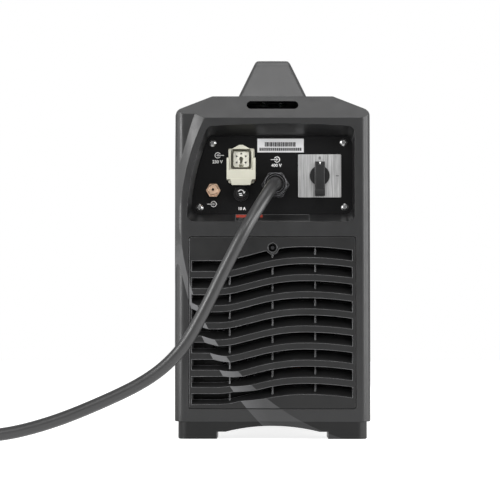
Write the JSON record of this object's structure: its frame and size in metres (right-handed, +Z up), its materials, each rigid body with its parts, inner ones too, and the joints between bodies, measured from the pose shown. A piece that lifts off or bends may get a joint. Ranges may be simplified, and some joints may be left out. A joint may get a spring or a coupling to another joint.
{
  "type": "plasma cutter unit",
  "caption": "Portable inverter power unit with moulded end panels, louvred grilles, carrying handle, connection panel, rotary main switch and coiled mains lead",
  "frame": {"origin": "bottom centre of the machine, without its mains cable", "axes": "+Y towards the operator's end, +Z up, so -Y is the rear with the connection panel"},
  "size_m": [0.6282, 0.6057, 0.43],
  "materials": {
    "case_plastic": "moulded, fine grain, dark grey",
    "skirt_plastic": "moulded, fine grain, dark grey",
    "grille_plastic": "moulded, satin",
    "handle_plastic": "moulded, fine grain",
    "soft_grip": "soft grip",
    "zinc_steel": "zinc plated",
    "zinc_sheet": "zinc-plated sheet",
    "black_screw": "blackened steel, glossy",
    "cover_paint": "powder coat, fine texture",
    "plate_black": "satin black powder coat",
    "ivory_plastic": "ivory, satin",
    "ivory_insert": "ivory",
    "silver_contact": "silver plated",
    "black_plastic": "black, satin",
    "fuse_glass": "clear",
    "brass": "turned",
    "gland_black": "black nylon",
    "brushed_steel": "brushed upright",
    "knob_black": "black, satin",
    "display_glass": "tinted",
    "board_green": "solder mask",
    "button_grey": "grey silicone",
    "fan_plastic": "black",
    "bare_aluminium": "extruded",
    "module_black": "moulded",
    "ferrite": "sintered",
    "copper_winding": "enamelled wire",
    "capacitor_sleeve": "shrink sleeve",
    "valve_brass": "machined",
    "hose_blue": "polyurethane hose",
    "cable_rubber": "rubber sheath, satin",
    "plug_black": "moulded",
    "plug_red": "moulded"
  },
  "bodies": {
    "case": {"base_tray": "cover_paint", "capacitors": "capacitor_sleeve", "carrying_handle": "handle_plastic", "case_cover": "cover_paint", "connection_plate": "plate_black", "control_board": "board_green", "control_plate": "plate_black", "cover_screws": "zinc_steel", "display_window": "display_glass", "fan_frame": "fan_plastic", "fan_panel": "cover_paint", "front_bezel": "case_plastic", "front_foot_skirt": "skirt_plastic", "front_grille": "grille_plastic", "front_inner_panel": "cover_paint", "fuse_holder_body": "black_plastic", "gas_hose": "hose_blue", "gas_inlet": "brass", "gas_valve": "valve_brass", "gland_body": "gland_black", "gland_nut": "gland_black", "grille_screws": "black_screw", "handle_bolts": "zinc_steel", "handle_grip_strip": "soft_grip", "heatsink": "bare_aluminium", "mains_cable": "cable_rubber", "mains_cable_coil": "cable_rubber", "output_choke": "copper_winding", "panel_screws": "black_screw", "plug_body": "plug_black", "plug_collar": "plug_red", "plug_pins": "silver_contact", "power_board": "board_green", "power_modules": "module_black", "rear_bezel": "case_plastic", "rear_foot_skirt": "skirt_plastic", "rear_grille": "grille_plastic", "shelf": "zinc_sheet", "skirt_screws": "zinc_steel", "socket_contacts": "silver_contact", "socket_housing": "ivory_plastic", "socket_insert": "ivory_insert", "switch_body": "black_plastic", "switch_faceplate": "brushed_steel", "torch_socket_body": "black_plastic", "torch_socket_pins": "brass", "transformer_core": "ferrite", "transformer_winding": "copper_winding", "work_socket_body": "black_plastic", "work_socket_core": "brass"},
    "switch_knob": {"switch_knob": "knob_black"},
    "fuse_carrier": {"fuse_cartridge": "fuse_glass"},
    "fuse_cap": {"fuse_cap": "black_plastic"},
    "socket_lever": {"socket_lever": "ivory_plastic"},
    "fan_rotor": {"fan_rotor": "fan_plastic"},
    "control_dial": {"control_dial": "knob_black"},
    "mode_button": {"mode_button": "button_grey"},
    "gas_test_button": {"gas_test_button": "button_grey"},
    "menu_button": {"menu_button": "button_grey"}
  },
  "joints": [
    {"name": "switch_turn", "type": "hinge", "parent": "case", "child": "switch_knob", "pos_m": [0.0526, -0.237, 0.2915], "axis": [0, 1, 0], "range_deg": [0, 90]},
    {"name": "fuse_pull", "type": "slide", "parent": "case", "child": "fuse_carrier", "axis": [0, -1, 0], "range_m": [0, 0.03]},
    {"name": "fuse_turn", "type": "hinge", "parent": "fuse_carrier", "child": "fuse_cap", "pos_m": [-0.035, -0.232, 0.2715], "axis": [0, -1, 0], "range_deg": [0, 90]},
    {"name": "lever_swing", "type": "hinge", "parent": "case", "child": "socket_lever", "pos_m": [-0.0347, -0.237, 0.3056], "axis": [-1, 0, 0], "range_deg": [0, 70]},
    {"name": "fan_spin", "type": "hinge", "parent": "case", "child": "fan_rotor", "pos_m": [0, -0.207, 0.127], "axis": [0, 1, 0], "continuous": true},
    {"name": "dial_turn", "type": "hinge", "parent": "case", "child": "control_dial", "pos_m": [-0.05, 0.232, 0.292], "axis": [0, 1, 0], "continuous": true},
    {"name": "mode_button_press", "type": "slide", "parent": "case", "child": "mode_button", "axis": [0, -1, 0], "range_m": [0, 0.0012], "stiffness_N_per_m": 600, "springref_m": -0.0008},
    {"name": "gas_test_button_press", "type": "slide", "parent": "case", "child": "gas_test_button", "axis": [0, -1, 0], "range_m": [0, 0.0012], "stiffness_N_per_m": 600, "springref_m": -0.0008},
    {"name": "menu_button_press", "type": "slide", "parent": "case", "child": "menu_button", "axis": [0, -1, 0], "range_m": [0, 0.0012], "stiffness_N_per_m": 600, "springref_m": -0.0008}
  ]
}
